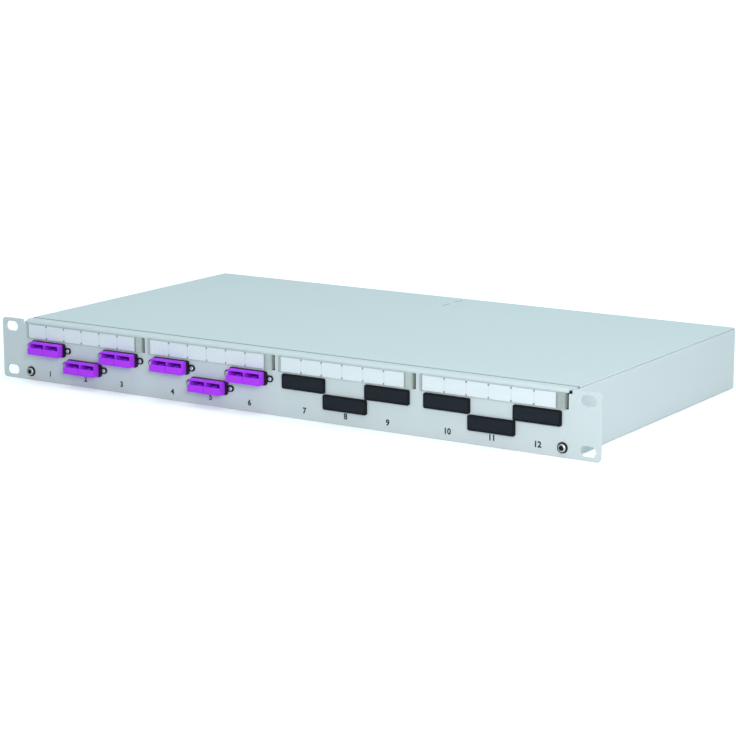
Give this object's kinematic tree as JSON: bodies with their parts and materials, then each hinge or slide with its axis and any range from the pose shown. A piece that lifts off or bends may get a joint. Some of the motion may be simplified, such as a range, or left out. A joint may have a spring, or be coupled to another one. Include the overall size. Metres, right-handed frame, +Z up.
{
  "type": "fibre patch panel",
  "caption": "Shallow rack-mount fibre patch panel in folded sheet steel, with staggered openings for quad adapters or blanking plugs, label holders, a lift-off cover and rear cable glands.",
  "frame": {"origin": "midway between the four rack slots, on the back face of the ears, which lies against the rack's rails", "axes": "+X to the right along the front, +Y into the rack, +Z up"},
  "size_m": [0.4826, 0.2687, 0.0436],
  "materials": {
    "grey_paint": "fine textured powder coat",
    "violet_plastic": "satin",
    "black_plastic": "matt",
    "zinc_steel": "zinc plated",
    "spring_steel": "blued",
    "clear_plastic": "clear",
    "white_strip": "matt",
    "rubber": "matt",
    "light_plastic": "matt"
  },
  "bodies": {
    "housing": {"adapter_1": "violet_plastic", "adapter_2": "violet_plastic", "adapter_3": "violet_plastic", "adapter_4": "violet_plastic", "adapter_5": "violet_plastic", "adapter_6": "violet_plastic", "adapter_frame_1": "black_plastic", "adapter_frame_2": "black_plastic", "adapter_frame_3": "black_plastic", "adapter_frame_4": "black_plastic", "adapter_frame_5": "black_plastic", "adapter_frame_6": "black_plastic", "adapter_screws": "zinc_steel", "back_caps": "violet_plastic", "blind_plugs": "black_plastic", "cassette_nut": "light_plastic", "cassette_stud": "zinc_steel", "earth_nut": "zinc_steel", "earth_stud": "zinc_steel", "front_plate": "grey_paint", "front_screws": "zinc_steel", "gland_bodies": "black_plastic", "gland_locknuts": "black_plastic", "gland_nuts": "black_plastic", "gland_seals": "rubber", "guide_rings": "light_plastic", "relief_bars": "zinc_steel", "screw_washers": "black_plastic", "splice_cassette": "light_plastic", "splice_comb": "light_plastic", "tray": "grey_paint"},
    "cover": {"top_cover": "grey_paint", "latch_spring": "spring_steel"},
    "dust_cap_1_left": {"dust_cap_1_left": "violet_plastic"},
    "dust_cap_1_right": {"dust_cap_1_right": "violet_plastic"},
    "dust_cap_2_left": {"dust_cap_2_left": "violet_plastic"},
    "dust_cap_2_right": {"dust_cap_2_right": "violet_plastic"},
    "dust_cap_3_left": {"dust_cap_3_left": "violet_plastic"},
    "dust_cap_3_right": {"dust_cap_3_right": "violet_plastic"},
    "dust_cap_4_left": {"dust_cap_4_left": "violet_plastic"},
    "dust_cap_4_right": {"dust_cap_4_right": "violet_plastic"},
    "dust_cap_5_left": {"dust_cap_5_left": "violet_plastic"},
    "dust_cap_5_right": {"dust_cap_5_right": "violet_plastic"},
    "dust_cap_6_left": {"dust_cap_6_left": "violet_plastic"},
    "dust_cap_6_right": {"dust_cap_6_right": "violet_plastic"},
    "blanking_plug_7": {"blanking_plug_7": "black_plastic"},
    "blanking_plug_8": {"blanking_plug_8": "black_plastic"},
    "blanking_plug_9": {"blanking_plug_9": "black_plastic"},
    "blanking_plug_10": {"blanking_plug_10": "black_plastic"},
    "blanking_plug_11": {"blanking_plug_11": "black_plastic"},
    "blanking_plug_12": {"blanking_plug_12": "black_plastic"},
    "label_1": {"label_holder_1": "clear_plastic", "label_strip_1": "white_strip"},
    "label_2": {"label_holder_2": "clear_plastic", "label_strip_2": "white_strip"},
    "label_3": {"label_holder_3": "clear_plastic", "label_strip_3": "white_strip"},
    "label_4": {"label_holder_4": "clear_plastic", "label_strip_4": "white_strip"},
    "cassette_lid": {"cassette_lid": "clear_plastic"}
  },
  "joints": [
    {"name": "cover_lift", "type": "slide", "parent": "housing", "child": "cover", "axis": [0, 0, 1], "range_m": [0, 0.12]},
    {"name": "dust_cap_1_left_pull", "type": "slide", "parent": "housing", "child": "dust_cap_1_left", "axis": [0, -1, 0], "range_m": [0, 0.03]},
    {"name": "dust_cap_1_right_pull", "type": "slide", "parent": "housing", "child": "dust_cap_1_right", "axis": [0, -1, 0], "range_m": [0, 0.03]},
    {"name": "dust_cap_2_left_pull", "type": "slide", "parent": "housing", "child": "dust_cap_2_left", "axis": [0, -1, 0], "range_m": [0, 0.03]},
    {"name": "dust_cap_2_right_pull", "type": "slide", "parent": "housing", "child": "dust_cap_2_right", "axis": [0, -1, 0], "range_m": [0, 0.03]},
    {"name": "dust_cap_3_left_pull", "type": "slide", "parent": "housing", "child": "dust_cap_3_left", "axis": [0, -1, 0], "range_m": [0, 0.03]},
    {"name": "dust_cap_3_right_pull", "type": "slide", "parent": "housing", "child": "dust_cap_3_right", "axis": [0, -1, 0], "range_m": [0, 0.03]},
    {"name": "dust_cap_4_left_pull", "type": "slide", "parent": "housing", "child": "dust_cap_4_left", "axis": [0, -1, 0], "range_m": [0, 0.03]},
    {"name": "dust_cap_4_right_pull", "type": "slide", "parent": "housing", "child": "dust_cap_4_right", "axis": [0, -1, 0], "range_m": [0, 0.03]},
    {"name": "dust_cap_5_left_pull", "type": "slide", "parent": "housing", "child": "dust_cap_5_left", "axis": [0, -1, 0], "range_m": [0, 0.03]},
    {"name": "dust_cap_5_right_pull", "type": "slide", "parent": "housing", "child": "dust_cap_5_right", "axis": [0, -1, 0], "range_m": [0, 0.03]},
    {"name": "dust_cap_6_left_pull", "type": "slide", "parent": "housing", "child": "dust_cap_6_left", "axis": [0, -1, 0], "range_m": [0, 0.03]},
    {"name": "dust_cap_6_right_pull", "type": "slide", "parent": "housing", "child": "dust_cap_6_right", "axis": [0, -1, 0], "range_m": [0, 0.03]},
    {"name": "blanking_plug_7_pull", "type": "slide", "parent": "housing", "child": "blanking_plug_7", "axis": [0, -1, 0], "range_m": [0, 0.03]},
    {"name": "blanking_plug_8_pull", "type": "slide", "parent": "housing", "child": "blanking_plug_8", "axis": [0, -1, 0], "range_m": [0, 0.03]},
    {"name": "blanking_plug_9_pull", "type": "slide", "parent": "housing", "child": "blanking_plug_9", "axis": [0, -1, 0], "range_m": [0, 0.03]},
    {"name": "blanking_plug_10_pull", "type": "slide", "parent": "housing", "child": "blanking_plug_10", "axis": [0, -1, 0], "range_m": [0, 0.03]},
    {"name": "blanking_plug_11_pull", "type": "slide", "parent": "housing", "child": "blanking_plug_11", "axis": [0, -1, 0], "range_m": [0, 0.03]},
    {"name": "blanking_plug_12_pull", "type": "slide", "parent": "housing", "child": "blanking_plug_12", "axis": [0, -1, 0], "range_m": [0, 0.03]},
    {"name": "label_1_pull", "type": "slide", "parent": "housing", "child": "label_1", "axis": [0, -1, 0], "range_m": [0, 0.03]},
    {"name": "label_2_pull", "type": "slide", "parent": "housing", "child": "label_2", "axis": [0, -1, 0], "range_m": [0, 0.03]},
    {"name": "label_3_pull", "type": "slide", "parent": "housing", "child": "label_3", "axis": [0, -1, 0], "range_m": [0, 0.03]},
    {"name": "label_4_pull", "type": "slide", "parent": "housing", "child": "label_4", "axis": [0, -1, 0], "range_m": [0, 0.03]},
    {"name": "cassette_lid_hinge", "type": "hinge", "parent": "housing", "child": "cassette_lid", "pos_m": [0, 0.2042, -0.0086], "axis": [-1, 0, 0], "range_deg": [0, 12]}
  ]
}
